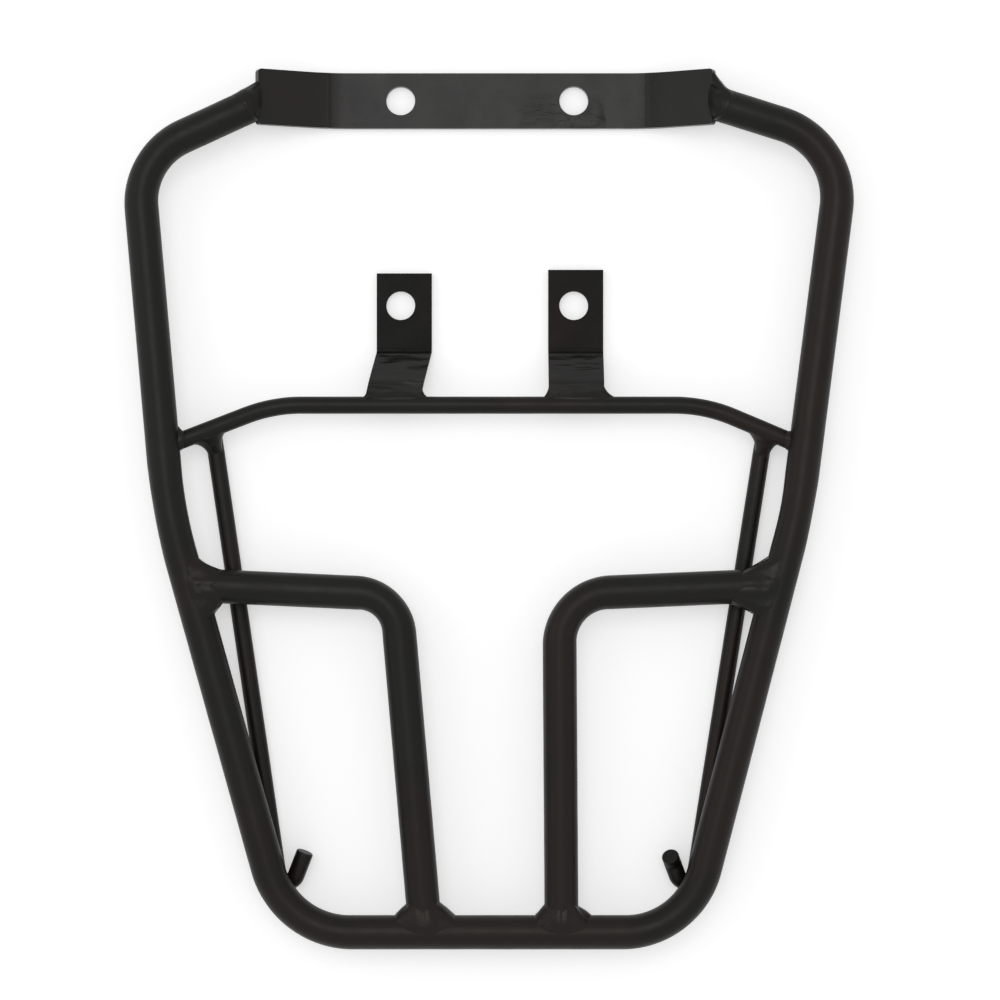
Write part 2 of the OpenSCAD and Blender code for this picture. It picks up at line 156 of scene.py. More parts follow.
def make_lamp(name, place, aim, size_x, size_y, watts):
    """A soft rectangular lamp at a place, turned to a point; both in metres."""
    data = bpy.data.lights.new(name, "AREA")
    data.shape = "RECTANGLE"
    data.size = size_x
    data.size_y = size_y
    data.energy = watts
    lamp = bpy.data.objects.new(name, data)
    lamp.location = place
    lamp.rotation_euler = (Vector(aim) - Vector(place)).to_track_quat("-Z", "Y").to_euler()
    bpy.context.collection.objects.link(lamp)


def seen_directly(tree):
    """1 for a ray that shows the surface to the eye, straight, by a reflection or through glass."""
    rays = tree.nodes.new("ShaderNodeLightPath")
    seen = rays.outputs["Is Camera Ray"]
    for kind in ("Is Glossy Ray", "Is Transmission Ray"):
        either = tree.nodes.new("ShaderNodeMath")
        either.operation = "MAXIMUM"
        tree.links.new(seen, either.inputs[0])
        tree.links.new(rays.outputs[kind], either.inputs[1])
        seen = either.outputs[0]
    return seen


def make_floor():
    """A level white floor that keeps the rack's shadow."""
    material = bpy.data.materials.new("floor_white")
    material.use_nodes = True
    tree = material.node_tree
    tree.nodes.clear()
    out = tree.nodes.new("ShaderNodeOutputMaterial")
    lit = tree.nodes.new("ShaderNodeBsdfDiffuse")
    lit.inputs["Color"].default_value = (FLOOR_GREY, FLOOR_GREY, FLOOR_GREY, 1)
    glow = tree.nodes.new("ShaderNodeEmission")
    glow.inputs["Color"].default_value = (1, 1, 1, 1)
    strength = tree.nodes.new("ShaderNodeMath")
    strength.operation = "MULTIPLY"
    strength.inputs[1].default_value = FLOOR_GLOW
    tree.links.new(seen_directly(tree), strength.inputs[0])
    tree.links.new(strength.outputs[0], glow.inputs["Strength"])
    both = tree.nodes.new("ShaderNodeAddShader")
    tree.links.new(lit.outputs[0], both.inputs[0])
    tree.links.new(glow.outputs[0], both.inputs[1])
    tree.links.new(both.outputs[0], out.inputs["Surface"])
    mesh = bpy.data.meshes.new("floor")
    half = 4.0
    outline = [(-half, -half, 0), (half, -half, 0), (half, half, 0), (-half, half, 0)]
    mesh.from_pydata(outline, [], [(0, 1, 2, 3)])
    floor = bpy.data.objects.new("floor", mesh)
    floor.location = (0, 0, cad_box[0][2] - FLOOR_GAP * MM)
    bpy.context.collection.objects.link(floor)
    mesh.materials.append(material)


def make_world():
    """A soft light from all round, white where it is seen."""
    world = bpy.data.worlds.new("studio")
    bpy.context.scene.world = world
    world.use_nodes = True
    tree = world.node_tree
    tree.nodes.clear()
    out = tree.nodes.new("ShaderNodeOutputWorld")
    mix = tree.nodes.new("ShaderNodeMixShader")
    tree.links.new(seen_directly(tree), mix.inputs[0])
    for k, strength in enumerate((WORLD_LIGHT, WORLD_SEEN), 1):
        background = tree.nodes.new("ShaderNodeBackground")
        background.inputs["Color"].default_value = (1, 1, 1, 1)
        background.inputs["Strength"].default_value = strength
        tree.links.new(background.outputs[0], mix.inputs[k])
    tree.links.new(mix.outputs[0], out.inputs["Surface"])


# ---- materials ---------------------------------------------------------------

class Nodes:
    """Short calls for building a material's node tree."""

    def __init__(self, name):
        self.material = bpy.data.materials.new(name)
        self.material.use_nodes = True
        self.tree = self.material.node_tree
        self.shader = self.tree.nodes["Principled BSDF"]
        coords = self.tree.nodes.new("ShaderNodeTexCoord")
        self.place = coords.outputs["Object"]

    def link(self, a, b):
        self.tree.links.new(a, b)

    def noise(self, scale, detail=3.0, rough=0.5, stretch=None, distortion=0.0):
        where = self.place
        if stretch:
            turn = self.tree.nodes.new("ShaderNodeMapping")
            turn.inputs["Scale"].default_value = stretch
            self.link(self.place, turn.inputs["Vector"])
            where = turn.outputs["Vector"]
        n = self.tree.nodes.new("ShaderNodeTexNoise")
        n.inputs["Scale"].default_value = scale
        n.inputs["Detail"].default_value = detail
        n.inputs["Roughness"].default_value = rough
        n.inputs["Distortion"].default_value = distortion
        self.link(where, n.inputs["Vector"])
        return n.outputs["Fac"]

    def ranged(self, value, low, high, from_low=0.3, from_high=0.7):
        m = self.tree.nodes.new("ShaderNodeMapRange")
        m.inputs["From Min"].default_value = from_low
        m.inputs["From Max"].default_value = from_high
        m.inputs["To Min"].default_value = low
        m.inputs["To Max"].default_value = high
        self.link(value, m.inputs["Value"])
        return m.outputs["Result"]

    def math(self, operation, a, b):
        m = self.tree.nodes.new("ShaderNodeMath")
        m.operation = operation
        for k, v in enumerate((a, b)):
            if isinstance(v, (int, float)):
                m.inputs[k].default_value = v
            else:
                self.link(v, m.inputs[k])
        return m.outputs[0]

    def ramp(self, value, *stops):
        r = self.tree.nodes.new("ShaderNodeValToRGB")
        r.color_ramp.elements[0].position = stops[0][0]
        r.color_ramp.elements[0].color = (*stops[0][1], 1)
        r.color_ramp.elements[1].position = stops[-1][0]
        r.color_ramp.elements[1].color = (*stops[-1][1], 1)
        for place, colour in stops[1:-1]:
            r.color_ramp.elements.new(place).color = (*colour, 1)
        self.link(value, r.inputs["Fac"])
        return r.outputs["Color"]

    def bump(self, height, distance, below=None):
        b = self.tree.nodes.new("ShaderNodeBump")
        b.inputs["Distance"].default_value = distance
        b.inputs["Strength"].default_value = 1.0
        self.link(height, b.inputs["Height"])
        if below is not None:
            self.link(below, b.inputs["Normal"])
        return b.outputs["Normal"]

    def along(self, axis):
        s = self.tree.nodes.new("ShaderNodeSeparateXYZ")
        self.link(self.place, s.inputs[0])
        return s.outputs[axis]


BLACK = (0.0062, 0.0060, 0.0056)
BROWN_BLACK = (0.0118, 0.0080, 0.0072)
GREEN_BLACK = (0.0074, 0.0086, 0.0064)
# Reflections off the enamel are a little warm
WARM_TINT = (1.0, 0.98, 0.92, 1)
# The fine orange peel in the enamel: scale and height
PEEL_SCALE = 900.0
PEEL = 0.00003


def enamel(n):
    """The enamel's colour: almost black, browner to the rear and greener to the front."""
    drift = n.math("MULTIPLY", n.math("ADD", n.along("Y"), 0.13), -0.5)
    shade = n.math("ADD", n.noise(13.0, 4.0, 0.55), drift)
    return n.ramp(shade, (0.40, GREEN_BLACK), (0.49, BLACK), (0.60, BROWN_BLACK))


def black_paint():
    """Brushed-on black enamel: fine orange peel, uneven gloss, a slight warm and green cast."""
    n = Nodes("black_paint")
    n.link(enamel(n), n.shader.inputs["Base Color"])
    n.link(n.ranged(n.noise(160.0, 5.0, 0.6), 0.34, 0.46), n.shader.inputs["Roughness"])
    n.shader.inputs["Specular Tint"].default_value = WARM_TINT
    n.shader.inputs["Specular IOR Level"].default_value = 0.17
    runs = n.bump(n.noise(60.0, 2.0, 0.45), 0.00012)
    n.link(n.bump(n.noise(PEEL_SCALE), PEEL, below=runs), n.shader.inputs["Normal"])
    return n.material


def weld_paint():
    """The same enamel, thick and uneven over a weld."""
    n = Nodes("weld_black_paint")
    n.link(enamel(n), n.shader.inputs["Base Color"])
    n.link(n.ranged(n.noise(300.0, 4.0), 0.24, 0.44), n.shader.inputs["Roughness"])
    n.shader.inputs["Specular Tint"].default_value = WARM_TINT
    n.shader.inputs["Specular IOR Level"].default_value = 0.18
    fine = n.bump(n.noise(1400.0), 0.00004)
    n.link(n.bump(n.noise(330.0, 2.0, 0.5), 0.00016, below=fine), n.shader.inputs["Normal"])
    return n.material


# ---- routes of the bent pieces -----------------------------------------------

def vec(p, z=None):
    return Vector((p[0], p[1], z if z is not None else p[2]))


def at_y(a, b, y):
    return a + (b - a) * ((y - a.y) / (b.y - a.y))


def at_x(a, b, x):
    return a + (b - a) * ((x - a.x) / (b.x - a.x))


def loop_side(side):
    return (vec(SHOULDER[side], TUBE_Z), vec(WAIST[side], TUBE_Z), Vector((side * REAR_X, REAR_Y, TUBE_Z)))


def on_loop(side, y):
    s = loop_side(side)
    return at_y(s[0], s[1], y) if y > s[1].y else at_y(s[1], s[2], y)


def loop_heading(side, y):
    s = loop_side(side)
    return (s[1] - s[0]).normalized() if y > s[1].y else (s[2] - s[1]).normalized()


def strap_end(side):
    return Vector((STRAP_END[side], FRONT_Y, TUBE_Z))


def tube_end(side):
    return strap_end(side) - Vector((0, SEAT_BACK, 0))


def strap_slope(side):
    """Heading of the strap's end, out and up."""
    return (strap_end(side) - Vector((STRAP_FLAT[side], FRONT_Y, BAR_T / 2))).normalized()


def inner_path(side):
    return (on_loop(side, INNER_Y + INNER_SWEEP), Vector((side * INNER_X[side], INNER_Y, TUBE_Z)),
            Vector((side * INNER_FOOT[side], REAR_Y, TUBE_Z)))


def cross_end(side):
    return vec(on_loop(side, CROSS_Y - CROSS_SWEEP), ROD_Z)


def cross_corner(side):
    return Vector((side * CROSS_BEND[side], CROSS_Y, ROD_Z))


def rail_start(side):
    return vec(at_x(cross_end(side), cross_corner(side), side * RAIL_X[side]), NOSE_Z)


def rail_stop(side):
    p = on_loop(side, REAR_Y + HOOK_AHEAD)
    return Vector((p.x - side * RAIL_INSET, p.y, RAIL_Z))


def rail_heading(side):
    return (rail_stop(side) - vec(rail_start(side), RAIL_Z)).normalized()


def rail_path(side):
    a, b, d = rail_start(side), rail_stop(side), rail_heading(side)
    inward = side * d.cross(UP)
    tilt, turned = math.radians(HOOK_TILT), math.radians(HOOK_TURN)
    sideways = math.cos(tilt) * inward + math.sin(tilt) * UP
    back = math.cos(turned) * d + math.sin(turned) * sideways
    reach = HOOK_R * math.tan(turned / 2)
    tip = b + d * reach + back * (reach + TIP_L[side])
    path = [a, vec(a, RAIL_Z) + d * NOSE_L, b + d * reach, tip]
    if side == RIGHT:
        path.append(tip + (back + UP * math.tan(math.radians(TIP_RISE))).normalized() * TIP_RISE_L)
    return path


def rail_crossing(side):
    p = inner_path(side)
    q = at_y(vec(rail_start(side), RAIL_Z), rail_stop(side), INNER_Y + INNER_SWEEP)
    return at_x(p[0], p[1], q.x)


class Station:
    """A place on a route: its point, its heading, how deep it is in a bend, and which way is in."""

    def __init__(self, point, heading, bend=0.0, inward=None):
        self.point, self.heading, self.bend, self.inward = point, heading, bend, inward


def route(corners, radii, step, bend_step=None):
    """Stations along straight legs and the bends between them."""
    bend_step = bend_step or step / 2
    found = []
    start = corners[0]

    def straight(a, b):
        d = (b - a).normalized()
        count = max(1, int((b - a).length / step))
        for k in range(count):
            found.append(Station(a + (b - a) * (k / count), d))

    for i in range(1, len(corners) - 1):
        a = (corners[i] - corners[i - 1]).normalized()
        b = (corners[i + 1] - corners[i]).normalized()
        angle, r = a.angle(b), radii[i - 1]
        stop = corners[i] - a * (r * math.tan(angle / 2))
        straight(start, stop)
        axis = a.cross(b).normalized()
        centre = stop + axis.cross(a) * r
        count = max(6, math.ceil(angle * r / bend_step))
        for k in range(count):
            spin = Matrix.Rotation(angle * k / count, 3, axis)
            p = centre + spin @ (stop - centre)
            found.append(Station(p, spin @ a, math.sin(math.pi * k / count), (centre - p).normalized()))
        start = corners[i] + b * (r * math.tan(angle / 2))
    straight(start, corners[-1])
    found.append(Station(corners[-1], (corners[-1] - start).normalized()))
    return found


def frames(stations):
    """For each station the two directions of its section, carried along without twist."""
    v = UP
    found = []
    for s in stations:
        v = (v - s.heading * v.dot(s.heading)).normalized()
        found.append((s.heading.cross(v).normalized(), v))
    return found


# ---- mesh building -----------------------------------------------------------

paint = black_paint()
weld_black = weld_paint()


def finish_piece(name, verts, faces, material, slot, nodes):
    """A visible piece from points in millimetres, in the place of the nodes."""
    mesh = bpy.data.meshes.new(name)
    mesh.from_pydata([tuple(c * MM for c in v) for v in verts], [], faces)
    mesh.validate()
    mesh.update()
    mesh.polygons.foreach_set("use_smooth", [True] * len(mesh.polygons))
    mesh.materials.append(material)
    piece = bpy.data.objects.new(name, mesh)
    bpy.context.collection.objects.link(piece)
    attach(piece, "root")
    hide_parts(*nodes)


def skin(rings, closed_ends=(False, False)):
    """Vertices and faces of a row of rings with the same count of points."""
    verts = [v for ring in rings for v in ring]
    n = len(rings[0])
    faces = []
    for k in range(len(rings) - 1):
        for j in range(n):
            a, b = k * n + j, k * n + (j + 1) % n
            faces.append((a, b, b + n, a + n))
    if closed_ends[0]:
        faces.append(tuple(reversed(range(n))))
    if closed_ends[1]:
        faces.append(tuple(range((len(rings) - 1) * n, len(rings) * n)))
    return verts, faces


def uneven(p, size, amount):
    """A smooth random number for a point, between -amount and amount."""
    return amount * noise.noise(p / size)


def bar_rings(stations, r, count, squeeze, rough=0.025, shaped=None):
    """Rings of a round bar, a little flattened in its bends and never quite even. The optional
    function shaped changes the radius by the station and the way out."""
    found = []
    for s, (u, v) in zip(stations, frames(stations)):
        ring_now = []
        for j in range(count):
            t = 2 * math.pi * j / count
            out = u * math.cos(t) + v * math.sin(t)
            radius = r + COAT
            if s.inward is not None:
                across = out.dot(s.inward)
                radius *= 1 - squeeze * s.bend * (across * across - 0.4 * (1 - across * across))
            if shaped:
                radius = shaped(s, out, radius)
            p = s.point + out * radius
            ring_now.append(p + out * uneven(p, 9.0, rough))
        found.append(ring_now)
    return found


def rounded_end(rings, centre, outward, steps=4):
    """The rings, and more that turn the last one over a rounded rim towards the flat end."""
    last = rings[-1]
    extra = []
    for k in range(1, steps + 1):
        t = math.pi / 2 * k / steps
        ahead, shrink = RIM_R * math.sin(t), RIM_R * (1 - math.cos(t))
        extra.append([p + outward * ahead - (p - centre).normalized() * shrink for p in last])
    middle = centre + outward * RIM_R
    for share in (0.66, 0.33):
        extra.append([middle + (p - middle) * share for p in extra[steps - 1]])
    return rings + extra


def leave(p, d, q, axis, r):
    """How far along d from p, inside the round bar through q, its surface lies."""
    w = p - q
    dp, wp = d - axis * d.dot(axis), w - axis * w.dot(axis)
    a, b, c = dp.dot(dp), dp.dot(wp), wp.dot(wp) - r * r
    return (-b + math.sqrt(max(0.0, b * b - a * c))) / a


def coped(ring_now, heading, q, axis, r):
    """A ring slid along its bar until it lies on the round bar through q."""
    return [p + heading * leave(p, heading, q, axis, r) for p in ring_now]


# ---- tubes and rods ----------------------------------------------------------

def make_main_tube():
    """The bent loop, pressed at both ends and cut along the slopes of the strap."""
    corners = [tube_end(LEFT), vec(SHOULDER[LEFT], TUBE_Z), vec(WAIST[LEFT], TUBE_Z),
               Vector((-REAR_X, REAR_Y, TUBE_Z)), Vector((REAR_X, REAR_Y, TUBE_Z)),
               vec(WAIST[RIGHT], TUBE_Z), vec(SHOULDER[RIGHT], TUBE_Z), tube_end(RIGHT)]
    radii = [SHOULDER_R[LEFT], WAIST_R, REAR_R[LEFT], REAR_R[RIGHT], WAIST_R, SHOULDER_R[RIGHT]]
    stations = route(corners, radii, 3.0, 1.2)
    first, last = stations[0].point, stations[-1].point

    def pressed(s, out, radius):
        gap = min((s.point - first).length, (s.point - last).length)
        if gap > PRESSED_L:
            return radius
        share = 0.5 + 0.5 * math.cos(math.pi * gap / PRESSED_L)
        across = math.sqrt(max(0.0, 1 - out.z * out.z))
        flat = 1 / math.sqrt((across / (PRESSED_W / 2)) ** 2 + (out.z / (PRESSED_T / 2)) ** 2)
        return radius + (flat - radius) * share

    rings = bar_rings(stations, TUBE_R, 48, 0.035, shaped=pressed)
    for index, side in ((0, LEFT), (-1, RIGHT)):
        slope, heading = strap_slope(side), stations[index].heading
        plane = tube_end(side)
        rings[index] = [p + heading * ((plane - p).dot(slope) / heading.dot(slope)) for p in rings[index]]
    finish_piece("main_tube_skin", *skin(rings, (True, True)), paint, "paint", ["main_tube"])


def without_crossed(rings):
    """The rings, less those near each end that the cut to the other tube would cross."""
    return rings[:1] + rings[3:-3] + rings[-1:]


def make_cross_rod():
    """The rod with its two shallow bends, cut to the main tube at both ends."""
    corners = [cross_end(LEFT), cross_corner(LEFT), cross_corner(RIGHT), cross_end(RIGHT)]
    stations = route(corners, [CROSS_R, CROSS_R], 3.0, 1.5)
    rings = bar_rings(stations, ROD_R, 32, 0.0)
    y, seat_r = CROSS_Y - CROSS_SWEEP, TUBE_R - ROD_SINK
    for index, side, heading in ((0, LEFT, stations[0].heading), (-1, RIGHT, -stations[-1].heading)):
        rings[index] = coped(rings[index], heading, on_loop(side, y), loop_heading(side, y), seat_r)
    verts, faces = skin(without_crossed(rings), (True, True))
    finish_piece("cross_rod_skin", verts, faces, paint, "paint", ["cross_rod"])


def make_inner_tube(side):
    """An L of tube, cut to the side of the loop and to its rear bar."""
    p = inner_path(side)
    stations = route(p, [INNER_R[side]], 3.0, 1.0)
    rings = bar_rings(stations, TUBE_R, 48, 0.05)
    seat_r = TUBE_R - TUBE_SINK
    rings[0] = coped(rings[0], stations[0].heading, p[0], loop_heading(side, p[0].y), seat_r)
    rings[-1] = coped(rings[-1], -stations[-1].heading, p[2], ACROSS, seat_r)
    name = NAMES[side] + "_inner_tube"
    finish_piece(name + "_skin", *skin(without_crossed(rings), (True, True)), paint, "paint", [name])


def make_side_rail(side):
    """A rod from the cross rod back under the inner tube to its hook, with rounded rims."""
    p = rail_path(side)
    stations = route(p, [NOSE_R, HOOK_R, TIP_R][:len(p) - 2], 3.0, 0.6)
    first = (stations[1].point - stations[0].point).normalized()
    stations[0].point += first * RIM_R
    stations[-1].point -= stations[-1].heading * RIM_R
    rings = bar_rings(stations, ROD_R, 32, 0.02, rough=0.02)
    rings = rounded_end(rings, stations[-1].point, stations[-1].heading)
    rings = rounded_end(rings[::-1], stations[0].point, -first)[::-1]
    name = NAMES[side] + "_side_rail"
    finish_piece(name + "_skin", *skin(rings, (True, True)), paint, "paint", [name])


# ---- flat bars ---------------------------------------------------------------

def soft_edged(node, material, width, folds=(), corners=0.0):
    """A copy of a node's flat bar with its edges and hole rims rounded by the paint, the corners
    of its ends rounded, and its folds along x, each given by place and slope, bent softly."""
    past_folds = (max(map(abs, STRAP_END.values())) - BAR_T) * MM
    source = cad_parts[node]
    piece = bpy.data.objects.new(node + "_skin", source.data.copy())
    bpy.context.collection.objects.link(piece)
    mesh = piece.data
    bm = bmesh.new()
    bm.from_mesh(mesh)
    bmesh.ops.remove_doubles(bm, verts=bm.verts, dist=1e-7)
    bmesh.ops.dissolve_limit(bm, angle_limit=math.radians(0.5), verts=bm.verts, edges=bm.edges)
    if corners:
        ends = [e for e in bm.edges if len(e.link_faces) == 2 and e.calc_face_angle(0) > math.radians(60)
                and abs((e.verts[0].co - e.verts[1].co).y) < 1e-6
                and min(abs(v.co.x) for v in e.verts) > past_folds]
        bmesh.ops.bevel(bm, geom=ends, offset=corners, segments=4, affect="EDGES", profile=0.5)
    for fold, slope in folds:
        for k in range(-FOLD_STEPS, FOLD_STEPS + 1):
            cut = Vector((fold + FOLD_W * k / FOLD_STEPS, 0, 0)) * MM
            bmesh.ops.bisect_plane(bm, geom=bm.verts[:] + bm.edges[:] + bm.faces[:], plane_co=cut,
                                   plane_no=(1, 0, 0), dist=1e-7)
        for v in bm.verts:
            past = (v.co.x / MM - fold) * math.copysign(1, fold)
            if abs(past) < FOLD_W:
                v.co.z += MM * slope * ((past + FOLD_W) ** 2 / (4 * FOLD_W) - max(0.0, past))
    bm.to_mesh(mesh)
    bm.free()
    mesh.materials.clear()
    mesh.materials.append(material)
    bevel = piece.modifiers.new("rounded edges", "BEVEL")
    bevel.width = width
    bevel.segments = 3
    bevel.limit_method = "ANGLE"
    bevel.angle_limit = math.radians(40)
    bevel.harden_normals = True
    mesh.polygons.foreach_set("use_smooth", [True] * len(mesh.polygons))
    mesh.set_sharp_from_angle(angle=math.radians(35))
    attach(piece, "root")
    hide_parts(node)


def between(n, value, low, high, soft):
    """1 where a value lies between low and high, fading to 0 over a soft margin."""
    return n.math("MULTIPLY", n.ranged(value, 0, 1, low - soft, low + soft),
                  n.ranged(value, 1, 0, high - soft, high + soft))


def strap_paint():
    """Gloss black on flat bar: broad soft waves, brush lines, and sags beside the right hole."""
    n = Nodes("strap_black_paint")
    n.link(enamel(n), n.shader.inputs["Base Color"])
    n.link(n.ranged(n.noise(90.0, 5.0, 0.6), 0.24, 0.36), n.shader.inputs["Roughness"])
    n.shader.inputs["Specular IOR Level"].default_value = 0.225
    sagged = n.math("MULTIPLY", between(n, n.along("X"), 0.012, 0.050, 0.008),
                    between(n, n.along("Y"), 0.028, 0.037, 0.003))
    patches = n.ranged(n.noise(60.0, 2.0), 0.0, 1.0, 0.35, 0.62)
    sags = n.noise(420.0, 3.0, 0.55, (0.30, 1.0, 1.0), 0.3)
    normal = n.bump(n.noise(PEEL_SCALE), PEEL)
    normal = n.bump(n.noise(26.0, 2.0, 0.4, (1.0, 0.25, 1.0)), 0.0007, below=normal)
    normal = n.bump(n.noise(500.0, 3.0, 0.5, (0.12, 1.0, 1.0)), 0.00006, below=normal)
    height = n.math("MULTIPLY", sags, n.math("MULTIPLY", sagged, patches))
    normal = n.bump(height, 0.0010, below=normal)
    n.link(normal, n.shader.inputs["Normal"])
    return n.material


def tab_paint():
    """Dull on the level part of a tab, thick, glossy and wavy on the slope and the foot."""
    n = Nodes("tab_black_paint")
    n.link(enamel(n), n.shader.inputs["Base Color"])
    level = n.ranged(n.along("Y"), 0, 1, -0.0548, -0.0528)
    foot = n.ranged(n.along("Y"), 1, 0, -0.0668, -0.0640)
    sheen = n.ranged(n.noise(160.0, 5.0, 0.6), 0.22, 0.34)
    dull = n.math("MULTIPLY", n.math("MAXIMUM", level, n.math("MULTIPLY", foot, 0.4)), 0.35)
    n.link(n.math("ADD", sheen, dull), n.shader.inputs["Roughness"])
    gloss = n.math("SUBTRACT", n.ranged(level, 0.30, 0.13, 0.0, 1.0), n.math("MULTIPLY", foot, 0.14))
    n.link(gloss, n.shader.inputs["Specular IOR Level"])
    bands = n.noise(110.0, 2.0, 0.45, (0.22, 1.5, 1.0), 0.35)
    height = n.math("MULTIPLY", bands, n.ranged(level, 1.0, 0.02, 0.0, 1.0))
    normal = n.bump(n.noise(PEEL_SCALE), PEEL)
    normal = n.bump(n.noise(260.0, 3.0, 0.5, (0.5, 1.0, 1.0)), 0.00012, below=normal)
    n.link(n.bump(height, 0.0026, below=normal), n.shader.inputs["Normal"])
    return n.material


# ---- welds -------------------------------------------------------------------

def finish_bead(label, verts, faces):
    """A visible weld in the place of the node with the same label."""
    finish_piece(label + "_bead", verts, faces, weld_black, "weld_paint", [label + "_weld"])


class Reach:
    """How far a weld reaches along its bar and over the other one, and how far it swells: on top,
    and on both flanks; blunt is how much more it reaches over the other bar between them."""

    def __init__(self, top, front, back, blunt=0.0):
        self.top, self.front, self.back, self.blunt = top, front, back, blunt

    def at(self, out, front):
        flank = 1 - out.z * out.z
        share = 0.5 + 0.5 * out.dot(front)
        along, over, swell = (
            top * (1 - flank) + flank * (back + (ahead - back) * share)
            for top, ahead, back in zip(self.top, self.front, self.back))
        return along, over + self.blunt * 4 * flank * (1 - flank), swell


def weld_band(label, branch, heading, branch_r, main, main_axis, reach, lump, count=120, steps=16):
    """A weld round the end of a round bar, at branch, that meets a tube, through main. Each line
    of it is a curve from the bar to the tube, closed under the surface of both."""
    ripple, pitch = 0.04, 3.4
    sunk, deep = 0.08, 0.9
    u = heading.cross(UP).normalized()
    v = u.cross(heading).normalized()
    e1 = (heading - main_axis * heading.dot(main_axis)).normalized()
    e2 = main_axis.cross(e1)
    rings = []
    for j in range(count):
        t = 2 * math.pi * j / count
        out = u * math.cos(t) + v * math.sin(t)
        foot = branch + out * branch_r
        seam = foot + heading * leave(foot, heading, main, main_axis, TUBE_R)
        along, over, lift = reach.at(out, main_axis)
        wave = math.sin(2 * math.pi * (branch_r * t) / pitch + 2.0 * uneven(seam, 6.0, 1.0))
        along *= 1 + 0.12 * uneven(seam, 4.0, 1.0) + 0.02 * wave
        a = seam + heading * along
        w = seam - main
        s, phi = w.dot(main_axis), math.atan2(w.dot(e2), w.dot(e1))
        unrolled = max(math.hypot(TUBE_R * phi, s), 1e-6)
        grow = 1 + over * (1 + 0.25 * uneven(seam * 1.7, 4.0, 1.0)) / unrolled
        out_b = e1 * math.cos(phi * grow) + e2 * math.sin(phi * grow)
        b = main + main_axis * (s * grow) + out_b * TUBE_R
        swell = (out + out_b).normalized() * lift
        c1 = a.lerp(b, 0.30).lerp(seam, 0.15) + swell
        c2 = a.lerp(b, 0.70).lerp(seam, 0.15) + swell
        line = []
        for k in range(steps + 1):
            q = k / steps
            p = a * (1 - q) ** 3 + c1 * (3 * q * (1 - q) ** 2) + c2 * (3 * q * q * (1 - q)) + b * q ** 3
            belly = math.sin(math.pi * q)
            bumps = 0.8 * uneven(p, 4.6, lump) + 0.25 * uneven(p, 2.2, lump)
            line.append(p + out.lerp(out_b, q).normalized() * (belly * (ripple * wave + bumps)))
        line[0] = line[0] - out * sunk
        line[-1] = line[-1] - out_b * sunk
        hidden = [b - out_b * deep, seam - out * deep - out_b * 0.5, a - out * deep]
        rings.append(line + hidden)
    verts, faces = skin(rings + [rings[0]])
    last = count * len(rings[0])
    faces = [tuple(i - last if i >= last else i for i in f) for f in faces]
    finish_bead(label, verts[:last], faces)


def blob(label, centre, axes, radii, lump, rows=28, count=40):
    """A smooth drop of weld metal: an uneven ball with its own half-lengths along three axes."""
    verts, faces = [], []
    for i in range(rows + 1):
        a = math.pi * i / rows
        for j in range(count if 0 < i < rows else 1):
            b = 2 * math.pi * j / count
            d = Vector((math.sin(a) * math.cos(b), math.sin(a) * math.sin(b), math.cos(a)))
            p = centre + sum((axis * (d[k] * radii[k]) for k, axis in enumerate(axes)), Vector())
            verts.append(p + (p - centre).normalized() * uneven(p, 3.0, lump))

    def index(i, j):
        if i == 0:
            return 0
        return 1 + (rows - 1) * count if i == rows else 1 + (i - 1) * count + j % count

    for i in range(rows):
        for j in range(count):
            face = (index(i, j), index(i + 1, j), index(i + 1, j + 1), index(i, j + 1))
            faces.append(tuple(dict.fromkeys(face)))
    finish_bead(label, verts, faces)


def flat_weld(label, rows, count, lump):
    """A flat weld built of rows: each has its middle, its direction across, how far it goes to
    each hand, and its half thickness."""
    rings = []
    for middle, across, low, high, thick in rows:
        centre = middle + across * ((high + low) / 2)
        half = (high - low) / 2
        ring_now = []
        for j in range(count):
            c, s = math.cos(2 * math.pi * j / count), math.sin(2 * math.pi * j / count)
            p = centre + across * (half * c) + UP * (thick * math.copysign(abs(s) ** 0.75, s))
            ring_now.append(p + UP * (uneven(p, 3.2, lump) * s))
        rings.append(ring_now)
    finish_bead(label, *skin(rings, (True, True)))


def fillet(share, width):
    """Width left in the hollow of a round fillet, at this share of its height."""
    share = min(1.0, max(0.0, share))
    return width * (1 - math.sqrt(1 - (1 - share) ** 2))


def corner(c):
    """Turns a circle's cosine into that of a soft-cornered rectangle."""
    return math.copysign(abs(c) ** 0.6, c)


SIDE_WELD = {LEFT: Reach((9.6, 1.2, 0.9), (7.4, 3.7, -0.5), (3.9, 4.0, 0.7), 3.4),
             RIGHT: Reach((14.0, 1.2, 0.8), (7.6, 4.8, 0.3), (9.4, 4.0, 0.5), 3.4)}
FOOT_WELD = {LEFT: Reach((8.6, 1.4, 1.3), (4.8, 5.4, 0.6), (4.2, 4.2, 0.9), 1.2),
             RIGHT: Reach((8.2, 1.4, 1.3), (3.8, 4.8, 0.7), (4.2, 4.2, 0.5), 1.2)}
ROD_WELD = {LEFT: Reach((2.6, 1.0, 0.2), (1.8, 3.4, 0.1), (1.6, 0.8, 0.2)),
            RIGHT: Reach((2.4, 1.0, 0.2), (1.2, 0.7, 0.2), (1.8, 1.2, 0.1))}


def towards_front(axis):
    return axis if axis.y > 0 else -axis


